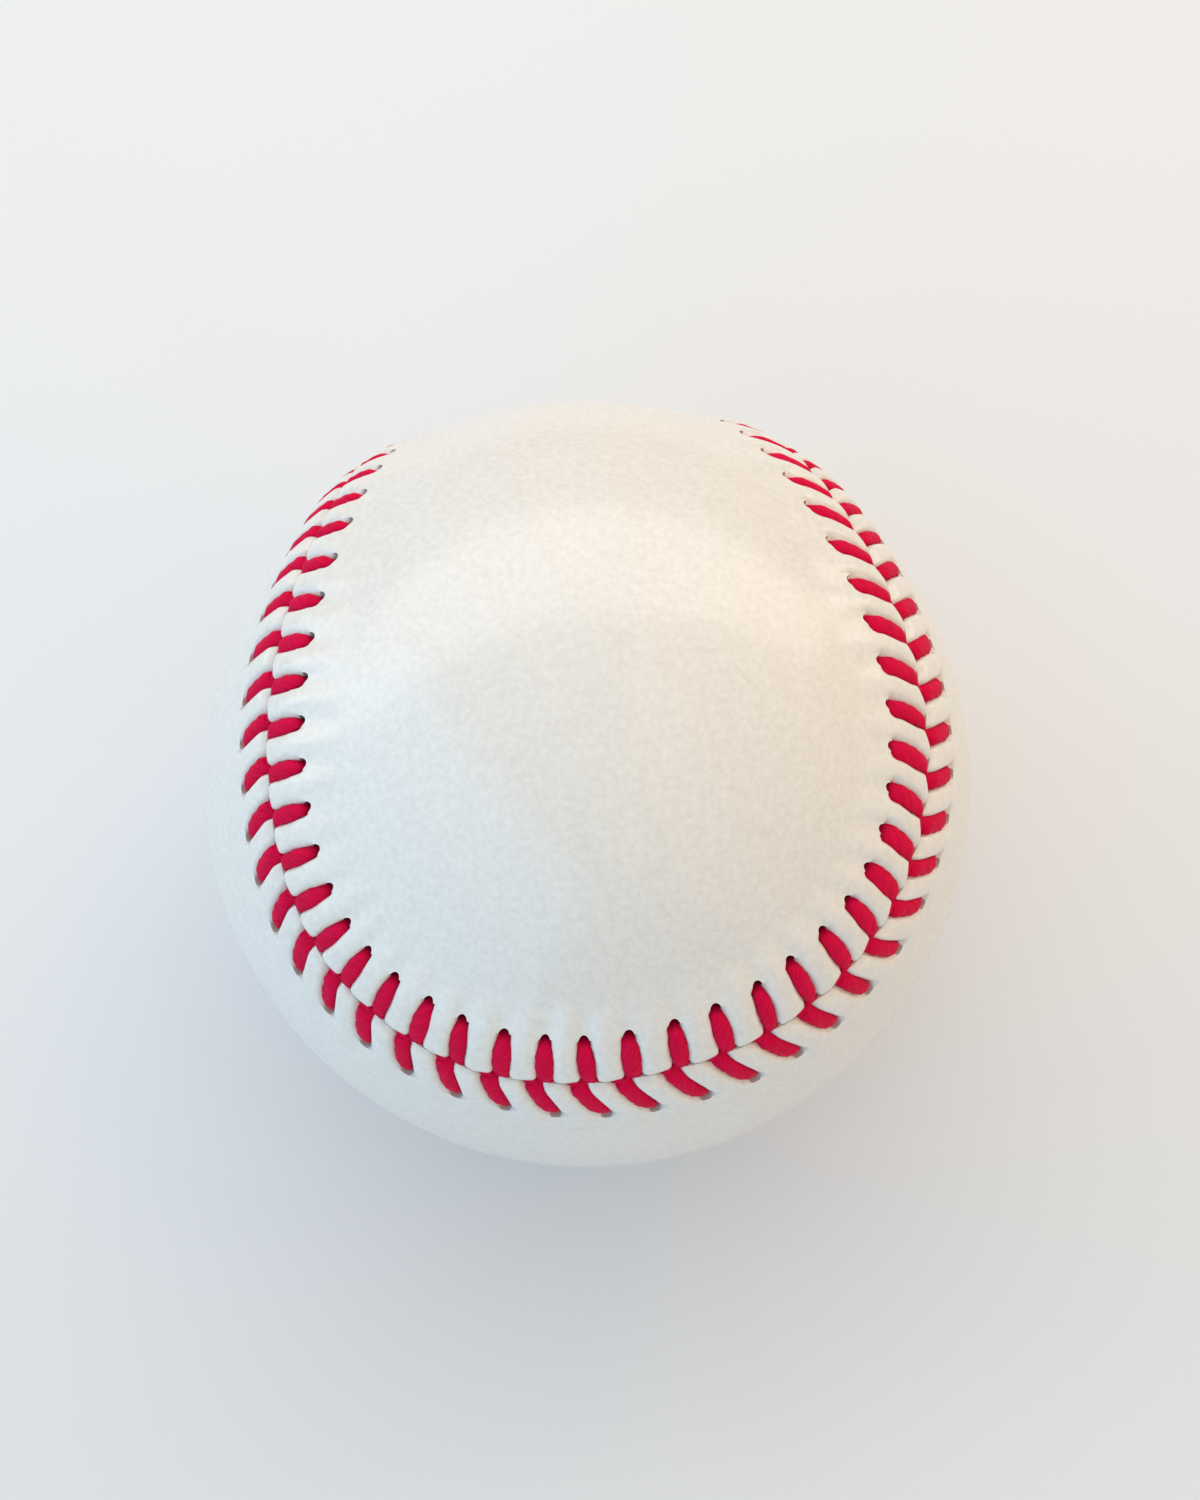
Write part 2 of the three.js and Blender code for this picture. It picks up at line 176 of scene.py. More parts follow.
# Colours, the dark one and the light one where there are two
LEATHER_DARK = (0.682, 0.652, 0.597)
LEATHER_LIGHT = (0.763, 0.735, 0.681)
RAW_LEATHER_AND_HOLE_SHADE = (0.06, 0.036, 0.03)  # painted shade and dirt inside the stitch holes, and the raw back of the leather
THREAD_DARK = (0.48, 0.001, 0.03)
THREAD_LIGHT = (0.74, 0.003, 0.062)
YARNS = {
    "grey_wool": ((0.20, 0.195, 0.185), (0.46, 0.45, 0.43)),
    "white_wool": ((0.66, 0.60, 0.50), (0.84, 0.80, 0.71)),
    "cotton_yarn": ((0.76, 0.72, 0.64), (0.90, 0.88, 0.82)),
}
RUBBERS = {
    "red_rubber": ((0.32, 0.025, 0.02), (0.46, 0.05, 0.04)),
    "black_rubber": ((0.012, 0.012, 0.014), (0.03, 0.03, 0.032)),
}
CORK_DARK = (0.20, 0.09, 0.035)
CORK_LIGHT = (0.52, 0.32, 0.16)
FLOOR = (0.69, 0.705, 0.715)
SURROUND = (0.60, 0.60, 0.60)

# Looks: scales in features for each millimetre, depths in millimetres, roughness from lowest to highest
CONTRAST = (0.3, 0.7)  # part of a noise that the two colours are spread over
LEATHER_SPECULAR = 0.6
LEATHER_ROUGHNESS = (0.16, 0.24)
MOTTLING = {"scale": 1.8, "detail": 3.0, "rough": 0.6}
GLOSS_PATCHES = {"scale": 0.5}
WRINKLES = {"scale": 0.35}
WRINKLE_DEPTH = 0.01
LEATHER_GRAIN = {"scale": 2.2}
LEATHER_GRAIN_DEPTH = 0.008
THREAD_SPECULAR = 0.05
THREAD_ROUGHNESS = (0.45, 0.65)
THREAD_FIBRES = (0.5, 4.0, 4.0)  # stretch along the thread and round it
THREAD_STRANDS = {"scale": 2.0, "detail": 3.0}
THREAD_WAX = {"scale": 1.2}
THREAD_DEPTH = 0.05
YARN_SPECULAR = 0.25
YARN_SHEEN = 0.3
YARN_ROUGHNESS = (0.75, 0.95)
YARN_FIBRES = (0.6, 3.0, 3.0)
YARN_STRANDS = {"scale": 1.5, "detail": 4.0}
YARN_FUZZ = {"scale": 1.5}
YARN_DEPTH = 0.12
RUBBER_SPECULAR = 0.4
RUBBER_ROUGHNESS = (0.45, 0.65)
RUBBER_PATCHES = {"scale": 0.3, "detail": 3.0}
RUBBER_GLOSS = {"scale": 0.8}
RUBBER_GRAIN = {"scale": 3.0, "detail": 4.0}
RUBBER_DEPTH = 0.03
CORK_SPECULAR = 0.3
CORK_ROUGHNESS = (0.7, 0.9)
CORK_CELLS = 0.7
CORK_GLOSS = {"scale": 1.0}
CORK_PORES = {"scale": 4.0, "detail": 4.0}
CORK_DEPTH = 0.08
FLOOR_ROUGHNESS = 0.9
COLOUR_A, COLOUR_B, COLOUR_RESULT = 6, 7, 2  # sockets of a Mix node that mixes colours

# Stage, in metres and degrees: turned from the front and raised, as seen from the ball
FLOOR_HALF = 2.0
LAMPS = (  # name, turn, rise, distance, width and height, glow in red, green and blue
    ("window", 185, 51, 0.5, (2.0, 0.32), (1.53, 1.42, 1.33)),
    ("right", 80, 45, 0.9, (1.8, 1.2), (0.58, 0.32, 0.06)),
    ("left", -60, 30, 0.9, (1.8, 0.9), (0.25, 0.745, 1.21)),
)
CAMERA_TURN = -4.03
CAMERA_RISE = 66.73
CAMERA_ROLL = 0.17
CAMERA_DISTANCE = 0.1411
CAMERA_LENS = 34.1  # millimetres, as is the sensor
CAMERA_SENSOR = 36.0
CAMERA_SHIFT = (0.0083, 0.0227)
CAMERA_NEAR = 0.01

# Mesh density
COLUMNS = 18  # along the seam, for each stitch
HOLE_COLUMNS = 3  # each side of a hole's middle
HOLE_ROWS = 4
ROWS_TO_HOLE = 11
ROWS_PAST_HOLE = 5
ROW_CROWDING = 1.3  # of the rows towards the seam
STRIP_WIDTH = 9.2
FILL_POINTS = 16000  # over the whole ball
FILL_MARGIN = 1.7  # between a panel's edge strip and the first of them
FILL_SEARCH = 0.25  # stitches between the places of the seam that they are compared with
FILL_TOLERANCE = 1e-9
INSIDE_ONLY = 1  # keeps the triangles inside the rim
AROUND_THREAD = 16
STEPS_BETWEEN = 3
AROUND_YARN = 5
STEPS_IN_TURN = 120
BALL_SPLITS = 4
CORK_SPLITS = 6
LATHE_SIDES = 96
ARC_STEPS = 24
ROUND_STEPS = 5
SHARP_EDGE = math.radians(50)  # edges that turn by less are shaded smooth
SAME_PLACE = 0.0001  # corners nearer than this are one

random = np.random.default_rng(SEED)


def smoothstep(value):
    value = np.clip(value, 0, 1)
    return value * value * (3 - 2 * value)


# Seam


def seam_point(share):
    wave = 4 * np.pi * share
    from_neck = np.pi / 2 - (np.pi / 2 - NECK_ANGLE) * np.cos(wave)
    turn = wave / 2 + SEAM_SWING * np.sin(2 * wave) + SEAM_RIPPLE * np.sin(4 * wave)
    reach = np.sin(from_neck)
    return np.stack([reach * np.cos(turn), np.cos(from_neck), -reach * np.sin(turn)], axis=-1)


seam_shares = np.linspace(0, 1, SEAM_SAMPLES + 1)
seam_steps = np.linalg.norm(np.diff(seam_point(seam_shares), axis=0), axis=1)
seam_lengths = np.concatenate([[0], np.cumsum(seam_steps)])
PITCH = seam_lengths[-1] * BALL_RADIUS / STITCHES


def seam_frame(station):
    """Point of the seam, direction along it and direction towards panel A, on a ball of radius 1."""
    length = np.mod(station / STITCHES, 1) * seam_lengths[-1]
    share = np.interp(length, seam_lengths, seam_shares)
    point = seam_point(share)
    step = 1 / SEAM_SAMPLES
    along = seam_point(share + step) - seam_point(share - step)
    along /= np.linalg.norm(along, axis=-1, keepdims=True)
    return point, along, np.cross(point, along)


def at_all_stitches(some):
    """Values at all stitches, between those given for some of them."""
    return np.interp(np.arange(STITCHES), list(some), list(some.values()), period=STITCHES)


def of_stitch(values, turns):
    """Value at a place between two stitches, from the values of all stitches."""
    return np.interp(turns, np.arange(STITCHES), values, period=STITCHES)


SEAM_SHIFTS = at_all_stitches(SEAM_ASIDE)
SCALLOPS = at_all_stitches(SEAM_SCALLOPS)
DIVE_LEADS = at_all_stitches(DIVES_AHEAD)


def cover_point(station, across, height):
    """Place at a distance across the seam, panel A's way, and a height over the plain leather."""
    point, _, to_panel_a = seam_frame(station)
    from_dive = station - FIRST_STITCH - of_stitch(DIVE_LEADS, station)
    scallop = of_stitch(SCALLOPS, station) * np.sin(np.pi * from_dive) ** 2
    aside = of_stitch(SEAM_SHIFTS, station) - scallop * np.exp(-((across / SCALLOP_REACH) ** 2))
    angle = ((across + aside) / BALL_RADIUS)[..., None]
    out = point * np.cos(angle) + to_panel_a * np.sin(angle)
    return out * (BALL_RADIUS + height)[..., None]


# Stitches


def hole_leads(some):
    return at_all_stitches(some) + random.normal(0, HOLE_SCATTER, STITCHES)


HOLE_LEADS = {1: hole_leads(HOLES_AHEAD_A), -1: hole_leads(HOLES_AHEAD_B)}
HOLE_STRETCH = {
    1: at_all_stitches(HOLES_AWAY_A) / HOLE_DISTANCE,
    -1: at_all_stitches(HOLES_AWAY_B) / HOLE_DISTANCE,
}
HOLE_TAPERS = at_all_stitches(HOLE_TAPER)
PAINTED_HOLE_SHADES = {1: at_all_stitches(PAINTED_HOLE_SHADE_A), -1: np.full(STITCHES, PAINTED_HOLE_SHADE_B)}
LEG_WIDTHS = {1: at_all_stitches(LEG_WIDTH_A), -1: np.full(STITCHES, LEG_WIDTH_B)}
SEAM_TAPERS = {1: at_all_stitches(SEAM_TAPER_A), -1: np.full(STITCHES, SEAM_TAPER_B)}
LEG_ENDS = {1: at_all_stitches(LEG_END_A), -1: np.full(STITCHES, LEG_END_B)}
LEG_SHARES = {hand: random.normal(1, WIDTH_SCATTER, STITCHES) for hand in (1, -1)}
PILLOW_SHARES = {hand: random.normal(1, PILLOW_SCATTER, STITCHES) for hand in (1, -1)}


def leg_station(hand, turns, across):
    """Station of a point on the leg that has this number, or between two legs."""
    to_hole = np.clip(across / HOLE_DISTANCE, 0, 1)
    hole = of_stitch(HOLE_LEADS[hand], turns)
    dive = of_stitch(DIVE_LEADS, turns) + hand * DIVE_STEP
    return turns + FIRST_STITCH + to_hole * hole + (1 - to_hole) * dive


def stretched(hand, turns, across):
    """True distance from the seam, where the holes lie nearer or farther than usual."""
    fading = smoothstep((STRIP_WIDTH - across) / (STRIP_WIDTH - HOLE_DISTANCE))
    return across * (1 + (of_stitch(HOLE_STRETCH[hand], turns) - 1) * fading)


def ridge(across):
    rise = SEAM_RISE * smoothstep((RISE_START - across) / (RISE_START - RISE_END))
    return rise - EDGE_ROLL * np.clip(1 - across / EDGE_REACH, 0, 1) ** 2


def leg_half_width(hand, turns, across):
    """Half the width of a leg: narrow in its hole, widest half way, a little narrower at the seam."""
    to_hole = np.clip(across / HOLE_DISTANCE, 0, 1)
    at_hole = of_stitch(HOLE_TAPERS, turns) * smoothstep((to_hole - HOLE_TAPER_START) / HOLE_TAPER_LENGTH)
    at_seam = of_stitch(SEAM_TAPERS[hand], turns) * smoothstep(1 - to_hole / SEAM_TAPER_LENGTH)
    return of_stitch(LEG_WIDTHS[hand], turns) / 2 * (1 - at_hole - at_seam)


def leg_top(across):
    dive = DIVE_DROP * np.exp(-((across / DIVE_REACH) ** 2))
    sink = HOLE_DROP * smoothstep((across - HOLE_DISTANCE + HOLE_DROP_REACH) / HOLE_DROP_REACH)
    return ridge(across) + LEG_PROUD - dive - sink


def leg_middle(across):
    return leg_top(across) - LEG_THICKNESS / 2


# Leather


def leather_height(hand, turns, across):
    """Height of the leather's face: a ridge, swollen between the legs and pressed in under them."""
    swell = smoothstep(across / PILLOW_START) * smoothstep((RISE_START - across) / PILLOW_FADE)
    between = (1 - np.cos(2 * np.pi * turns)) / 2
    lift = ridge(across) + PILLOW_RISE * of_stitch(PILLOW_SHARES[hand], turns) * swell * between
    away = np.abs(turns - np.round(turns)) * PITCH / leg_half_width(hand, turns, across)
    under = LEG_THICKNESS / 2 * np.sqrt(np.clip(1 - away**2, 0, 1))
    shoulder = SHOULDER_SLOPE * np.clip(away - 1, 0, None)
    pressed = np.maximum(leg_middle(across) - under + shoulder, ridge(across) - LEATHER + LEAST_LEATHER)
    past_hole = smoothstep((across - HOLE_DISTANCE) / HOLE_EDGE)
    pressed = pressed + past_hole * 2 * LEG_THICKNESS
    return -FOLD_SOFTNESS * np.logaddexp(-lift / FOLD_SOFTNESS, -pressed / FOLD_SOFTNESS)


def open_holes(hand, turns, across):
    """Moves the grid's points so that a ring of them lies on the rim of each stitch hole."""
    stitch = np.round(turns)
    x = (turns - stitch) * PITCH
    y = across - HOLE_DISTANCE
    block_x = HOLE_COLUMNS / COLUMNS * PITCH
    block_y = HOLE_LENGTH[hand] / 2
    ring = np.maximum(np.abs(x) / block_x, np.abs(y) / block_y)
    angle = np.arctan2(y / block_y, x / block_x)
    lean = hand * HOLE_LEAN * np.sin(2 * np.pi * (stitch - LOBE_MIDDLE) / STITCHES)
    long_way = HOLE_LENGTH[hand] / 2 * np.sin(angle) * ring
    wide_way = HOLE_WIDTH[hand] / 2 * np.cos(angle) * ring
    rim_x = wide_way * np.cos(lean) + long_way * np.sin(lean)
    rim_y = long_way * np.cos(lean) - wide_way * np.sin(lean)
    keep = smoothstep((ring - 1) / HOLE_BLEND)
    new_x = x * keep + rim_x * (1 - keep)
    new_y = y * keep + rim_y * (1 - keep)
    return stitch + new_x / PITCH, HOLE_DISTANCE + new_y


def strip_rows(hand):
    """Distances from the seam of the rows of points along a panel's edge."""
    hole_start = HOLE_DISTANCE - HOLE_LENGTH[hand] / 2
    hole_end = HOLE_DISTANCE + HOLE_LENGTH[hand] / 2
    to_hole = hole_start * np.linspace(0, 1, ROWS_TO_HOLE) ** ROW_CROWDING
    hole = np.linspace(hole_start, hole_end, HOLE_ROWS + 1)[1:]
    past_hole = np.linspace(hole_end, STRIP_WIDTH, ROWS_PAST_HOLE + 1)[1:]
    return np.concatenate([to_hole, hole, past_hole])


def ball_points(count):
    """Points spread evenly over a ball of radius 1."""
    step = np.arange(count) + 0.5
    height = 1 - 2 * step / count
    turn = step * math.pi * (3 - math.sqrt(5))
    reach = np.sqrt(1 - height**2)
    return np.stack([reach * np.cos(turn), reach * np.sin(turn), height], axis=-1)


def fill_points(hand):
    """Directions of the points inside a panel, clear of its edge strip."""
    points = ball_points(FILL_POINTS)
    on_seam, _, to_panel_a = seam_frame(np.arange(0, STITCHES, FILL_SEARCH))
    nearest = np.argmax(points @ on_seam.T, axis=1)
    angle = np.arccos(np.clip(np.sum(points * on_seam[nearest], axis=1), -1, 1))
    side = np.sum(points * to_panel_a[nearest], axis=1) * hand
    return points[(side > 0) & (angle * BALL_RADIUS > STRIP_WIDTH + FILL_MARGIN)]


def flattened(points, hand):
    """Stereographic view of a panel from the middle of the other panel's neck."""
    outward = points / np.linalg.norm(points, axis=1, keepdims=True)
    return outward[:, [2, 0]] / (1 + hand * outward[:, 1:2])


def fill_faces(rim, inside, hand):
    """Triangles over the points of a rim, in order, and the points inside it."""
    flat = flattened(np.concatenate([rim, inside]), hand)
    spots = [Vector(spot) for spot in flat.tolist()]
    rims = [list(range(len(rim)))]
    result = geometry.delaunay_2d_cdt(spots, [], rims, INSIDE_ONLY, FILL_TOLERANCE)
    new_faces, first = result[2], result[3]
    return [[first[corner][0] for corner in face] for face in new_faces]


def unevenness(points):
    """Slow, shallow waves over the leather."""
    waves = np.random.default_rng(SEED).normal(0, WAVE_RATE, (WAVES, 3))
    return UNEVENNESS * np.mean(np.sin(points @ waves.T + np.arange(WAVES)), axis=1) - UNEVENNESS / 2


def panel_grid(hand):
    """Outer and inner points of a panel's edge strip, in columns along the seam."""
    turns, across = np.meshgrid(np.arange(STITCHES * COLUMNS) / COLUMNS, strip_rows(hand), indexing="ij")
    turns, across = open_holes(hand, turns, across)
    station = leg_station(hand, turns, across)
    gap = EDGE_GAP + THREAD_GAP * np.cos(np.pi * turns) ** THREAD_GAP_POWER
    side = hand * (stretched(hand, turns, across) + gap * np.clip(1 - across / GAP_REACH, 0, 1))
    outer = cover_point(station, side, leather_height(hand, turns, across))
    inner = cover_point(station, side, ridge(across) - LEATHER)
    return outer, inner


def strip_faces(spot, count, width):
    """Faces of a panel's edge strip, with its holes left open."""
    faces = []
    first_row = ROWS_TO_HOLE - 1
    for column in range(count):
        from_hole = (column + HOLE_COLUMNS) % COLUMNS
        for row in range(width - 1):
            in_hole = from_hole < 2 * HOLE_COLUMNS and first_row <= row < first_row + HOLE_ROWS
            if not in_hole:
                near = [spot(column, row), spot(column + 1, row)]
                far = [spot(column + 1, row + 1), spot(column, row + 1)]
                faces.append(near + far)
    return faces


def hole_rim(spot, stitch):
    """Points round one stitch hole, in order."""
    first = stitch * COLUMNS - HOLE_COLUMNS
    last = first + 2 * HOLE_COLUMNS
    low = ROWS_TO_HOLE - 1
    high = low + HOLE_ROWS
    rim = [spot(column, low) for column in range(first, last)]
    rim += [spot(last, row) for row in range(low, high)]
    rim += [spot(column, high) for column in range(last, first, -1)]
    rim += [spot(first, row) for row in range(high, low, -1)]
    return rim


def wall(rim, depth):
    """Faces between the points of a rim, in order, and those that are as many places after them."""
    return [[a, b, b + depth, a + depth] for a, b in zip(rim, rim[1:] + rim[:1])]


def leather_panel(hand):
    """Points and faces of one panel, with walls in its edge and its holes, and how dark each face is: the raw
    back fully, the hole walls by painted shade and dirt.
    """
    outer, inner = panel_grid(hand)
    count, width = outer.shape[:2]
    outer, inner = outer.reshape(-1, 3), inner.reshape(-1, 3)
    inside = fill_points(hand)
    points = np.concatenate([outer, inside * BALL_RADIUS, inner, inside * (BALL_RADIUS - LEATHER)])
    depth = len(outer) + len(inside)

    def spot(column, row):
        return (column % count) * width + row

    rim = np.arange(count) * width + width - 1
    fill = fill_faces(outer[rim], inside, hand)
    places = np.concatenate([rim, np.arange(len(outer), depth)])
    points[:depth] *= 1 + (unevenness(points[:depth]) / BALL_RADIUS)[:, None]
    skin = strip_faces(spot, count, width) + [places[face].tolist() for face in fill]
    back = [[corner + depth for corner in reversed(face)] for face in skin]
    edge = wall([spot(column, 0) for column in range(count)], depth)
    holes = [wall(hole_rim(spot, stitch), depth) for stitch in range(STITCHES)]
    # the hole walls are darkened by painted shade and dirt, by the share given for each stitch
    painted_shades = [np.repeat(PAINTED_HOLE_SHADES[hand][stitch], len(hole)) for stitch, hole in enumerate(holes)]
    raw_or_shaded = np.concatenate([np.zeros(len(skin)), np.ones(len(back)), np.zeros(len(edge)), *painted_shades])
    return points, skin + back + edge + sum(holes, []), raw_or_shaded


# Lacing


def stitch_path(stitch, hand):
    """Rows of station, distance across, height, width and thickness along one stitch of a thread."""
    end = HOLE_DISTANCE - LEG_ENDS[hand][stitch]
    across = np.array([end, *LEG_ROWS])
    turns = np.full(across.shape, float(stitch))
    station = leg_station(hand, turns, across)
    width = 2 * leg_half_width(hand, turns, across) * LEG_SHARES[hand][stitch]
    thick = np.full(across.shape, LEG_THICKNESS)
    side = hand * stretched(hand, turns, across)
    leg = np.stack([station, side, leg_middle(across), width, thick], axis=-1)
    hole, away = station[0], side[0]
    dive = stitch + FIRST_STITCH + DIVE_LEADS[stitch] + hand * DIVE_STEP
    entry = np.array([
        [hole - RUN_LEAD, away - hand * RUN_ASIDE, -RUN_DEPTH, RUN_WIDTH, RUN_THICKNESS],
        [hole, away + hand * RISER_ASIDE, -RISER_DEPTH, width[0], RISER_THICKNESS],
    ])
    way_down = np.array([
        [dive + past, -hand * under, height, wide, flat] for past, under, height, wide, flat in DIVE_ROWS
    ])
    return np.concatenate([entry, leg, way_down])


def smooth_path(rows, steps):
    """A smooth curve through all rows, with this many steps between two of them."""
    rows = np.concatenate([rows[:1], rows, rows[-1:]])
    p0, p1, p2, p3 = (rows[i : len(rows) - 3 + i, None] for i in range(4))
    t = (np.arange(steps) / steps)[None, :, None]
    curve = p1 + t / 2 * (p2 - p0 + t * (2 * p0 - 5 * p1 + 4 * p2 - p3 + t * (3 * (p1 - p2) + p3 - p0)))
    return np.concatenate([curve.reshape(-1, rows.shape[1]), rows[-1:]])


def tube(middle, wide, width, thick, sides, relief=0.0):
    """Points, faces and fibre coordinates of a twisted yarn along a path."""
    way = np.gradient(middle, axis=0)
    step = np.linalg.norm(way, axis=1, keepdims=True)
    way /= step
    length = np.cumsum(step)
    wide = wide - way * np.sum(wide * way, axis=1, keepdims=True)
    wide /= np.linalg.norm(wide, axis=1, keepdims=True)
    thin = np.cross(way, wide)
    angle = np.linspace(0, 2 * np.pi, sides, endpoint=False)[None, :]
    twist = angle - (2 * np.pi * length / PLY_LAY)[:, None]
    swell = 1 + relief * np.cos(PLIES * twist)
    along_wide = (width[:, None] / 2 * np.cos(angle) * swell)[..., None] * wide[:, None]
    along_thin = (thick[:, None] / 2 * np.sin(angle) * swell)[..., None] * thin[:, None]
    points = (middle[:, None] + along_wide + along_thin).reshape(-1, 3)
    fibre = np.stack(np.broadcast_arrays(length[:, None], np.cos(twist), np.sin(twist)), axis=-1)
    first = np.arange(len(middle) - 1)[:, None] * sides
    near, far = first + np.arange(sides), first + (np.arange(sides) + 1) % sides
    faces = np.stack([near, far, far + sides, near + sides], axis=-1).reshape(-1, 4).tolist()
    last = (len(middle) - 1) * sides
    faces.append(list(range(sides))[::-1])
    faces.append(list(range(last, last + sides)))
    return points, faces, fibre.reshape(-1, 3)


def lacing_thread(offset):
    """One continuous thread of the lacing, every second leg of each panel."""
    rows = [stitch_path(i, 1 if (i + offset) % 2 == 0 else -1) for i in range(STITCHES)]
    station, across, height, width, thick = smooth_path(np.concatenate(rows), STEPS_BETWEEN).T
    middle = cover_point(station, across, height)
    return tube(middle, seam_frame(station)[1], width, thick, AROUND_THREAD, PLY_RELIEF)


# Inside of the ball


def corners(node):
    """Corners of a CAD node, in millimetres."""
    made = frame["nodes"][node]
    return np.array([made.matrix_world @ corner.co for corner in made.data.vertices]) / MM


def outside(node):
    return np.linalg.norm(corners(node), axis=1).max()


def ball(radius, splits):
    """Points and triangles of a fine ball."""
    work = bmesh.new()
    bmesh.ops.create_icosphere(work, subdivisions=splits, radius=radius)
    points = np.array([corner.co for corner in work.verts])
    faces = [[corner.index for corner in face.verts] for face in work.faces]
    work.free()
    return points, faces


def joined(*parts):
    """Points and faces of several closed surfaces, one after another."""
    points, faces, first = [], [], 0
    for part_points, part_faces in parts:
        points.append(part_points)
        faces.extend([corner + first for corner in face] for face in part_faces)
        first += len(part_points)
    return np.concatenate(points), faces


def yarn_path(radius, turns):
    """Path of a yarn wound round a ball that keeps turning about two axes, and its share of the way."""
    share = np.linspace(0, 1, turns * STEPS_IN_TURN)
    round_ball = 2 * np.pi * turns * share
    first, second = (round_ball * rounds / YARN_TURNS for rounds in AXIS_TURNS)
    x, y = np.cos(round_ball), np.sin(round_ball)
    y, z = y * np.cos(first), y * np.sin(first)
    x, z = x * np.cos(second) - z * np.sin(second), x * np.sin(second) + z * np.cos(second)
    return radius * np.stack([x, y, z], axis=-1), share


def winding(outer, inner, yarn, turns):
    """Hollow ball of packed yarn with its last turns lying on it."""
    thick = yarn * YARN_SHARE
    path, share = yarn_path(1, turns)
    height = outer - thick / 2 - thick * YARN_SINK * (1 - share)
    width = np.full(share.shape, yarn)
    wide = np.cross(path, np.gradient(path, axis=0))
    points, faces, fibre = tube(path * height[:, None], wide, width, width * YARN_SHARE, AROUND_YARN)
    under = ball(outer - thick, BALL_SPLITS)
    hollow_points, hollow_faces = ball(inner, BALL_SPLITS)
    hollow = hollow_points, [face[::-1] for face in hollow_faces]
    points, faces = joined((points, faces), under, hollow)
    rest = points[len(fibre) :]
    return points, faces, np.concatenate([fibre, rest / yarn])


def cork_ball(radius):
    """Ball of pressed cork grains, each a little proud of its neighbours' joints."""
    points, faces = ball(1, CORK_SPLITS)
    grains = ball_points(CORK_GRAINS) + random.normal(0, GRAIN_SCATTER, (CORK_GRAINS, 3))
    grains /= np.linalg.norm(grains, axis=1, keepdims=True)
    near = np.sort(points @ grains.T, axis=1)[:, :-3:-1]
    to_joint = np.arccos(np.clip(near[:, 1], -1, 1)) - np.arccos(np.clip(near[:, 0], -1, 1))
    sunk = GRAIN_RELIEF * np.exp(-to_joint / GRAIN_JOINT)
    return points * (radius - sunk)[:, None], faces


def lathe(profile, axis, closed):
    """Points and faces of a profile of reach and height, turned about an axis."""
    reach, height = profile.T
    turn = np.linspace(0, 2 * np.pi, LATHE_SIDES, endpoint=False)[:, None]
    up = np.array(axis, float)
    side = np.roll(up, 1)
    other = np.cross(up, side)
    points = (reach * np.cos(turn))[..., None] * side + (reach * np.sin(turn))[..., None] * other
    points = points + height[None, :, None] * up
    count = len(profile)
    rows = count if closed else count - 1
    column, row = np.meshgrid(np.arange(LATHE_SIDES), np.arange(rows), indexing="ij")
    next_column, next_row = (column + 1) % LATHE_SIDES * count, (row + 1) % count
    column = column * count
    faces = np.stack([column + row, next_column + row, next_column + next_row, column + next_row], axis=-1)
    return points.reshape(-1, 3), faces.reshape(-1, 4).tolist()


def rounded(reach, height, start):
    """Quarter round of a rim, about a point of reach and height."""
    angle = start - np.linspace(0, np.pi / 2, ROUND_STEPS)
    return np.stack([reach + RIM_ROUNDING * np.cos(angle), height + RIM_ROUNDING * np.sin(angle)], axis=-1)


def rubber_cup(node, axis):
    """Half of a hollow rubber ball, with a rounded rim."""
    spots = corners(node)
    away = np.linalg.norm(spots, axis=1)
    inner, outer, rim = away.min(), away.max(), np.abs(spots @ np.array(axis)).min()

    def arc(radius):
        from_pole = np.linspace(0, np.arccos((rim + RIM_ROUNDING) / radius), ARC_STEPS)
        return radius * np.stack([np.sin(from_pole), np.cos(from_pole)], axis=-1)

    outer_arc, inner_arc = arc(outer), arc(inner)
    outer_rim = rounded(outer_arc[-1, 0] - RIM_ROUNDING, rim + RIM_ROUNDING, 0)
    inner_rim = rounded(inner_arc[-1, 0] + RIM_ROUNDING, rim + RIM_ROUNDING, -np.pi / 2)
    return lathe(np.concatenate([outer_arc, outer_rim[1:], inner_rim, inner_arc[-2::-1]]), axis, closed=False)


def rubber_washer(node, axis):
    """Flat ring with rounded edges."""
    spots = corners(node)
    half = np.abs(spots @ np.array(axis)).max()
    reach = np.linalg.norm(np.delete(spots, np.argmax(np.abs(axis)), axis=1), axis=1)
    inner, outer, flat = reach.min() + RIM_ROUNDING, reach.max() - RIM_ROUNDING, half - RIM_ROUNDING
    rims = [
        rounded(outer, flat, np.pi / 2),
        rounded(outer, -flat, 0),
        rounded(inner, -flat, -np.pi / 2),
        rounded(inner, flat, np.pi),
    ]
    return lathe(np.concatenate(rims), axis, closed=True)


# Pieces


def piece(name, points, faces, material, node, slot, fibre=None, raw_or_shaded=None):
    """Object made of points in millimetres that stands for a CAD node."""
    mesh = bpy.data.meshes.new(name)
    mesh.from_pydata((points * MM).tolist(), [], faces)
    if fibre is not None:
        attribute = mesh.attributes.new("fibre", "FLOAT_VECTOR", "POINT")
        attribute.data.foreach_set("vector", fibre.astype(np.float32).ravel())
    if raw_or_shaded is not None:
        attribute = mesh.attributes.new("raw_or_shaded", "FLOAT", "FACE")
        attribute.data.foreach_set("value", raw_or_shaded.astype(np.float32))
    work = bmesh.new()
    work.from_mesh(mesh)
    bmesh.ops.remove_doubles(work, verts=work.verts, dist=SAME_PLACE * MM)
    bmesh.ops.recalc_face_normals(work, faces=work.faces)
    work.to_mesh(mesh)
    work.free()
    mesh.shade_smooth()
    if fibre is None:
        mesh.set_sharp_from_angle(angle=SHARP_EDGE)
    mesh.materials.append(material)
    made = bpy.data.objects.new(name, mesh)
    bpy.context.scene.collection.objects.link(made)
    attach(made, "root")
    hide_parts(node)


# Looks


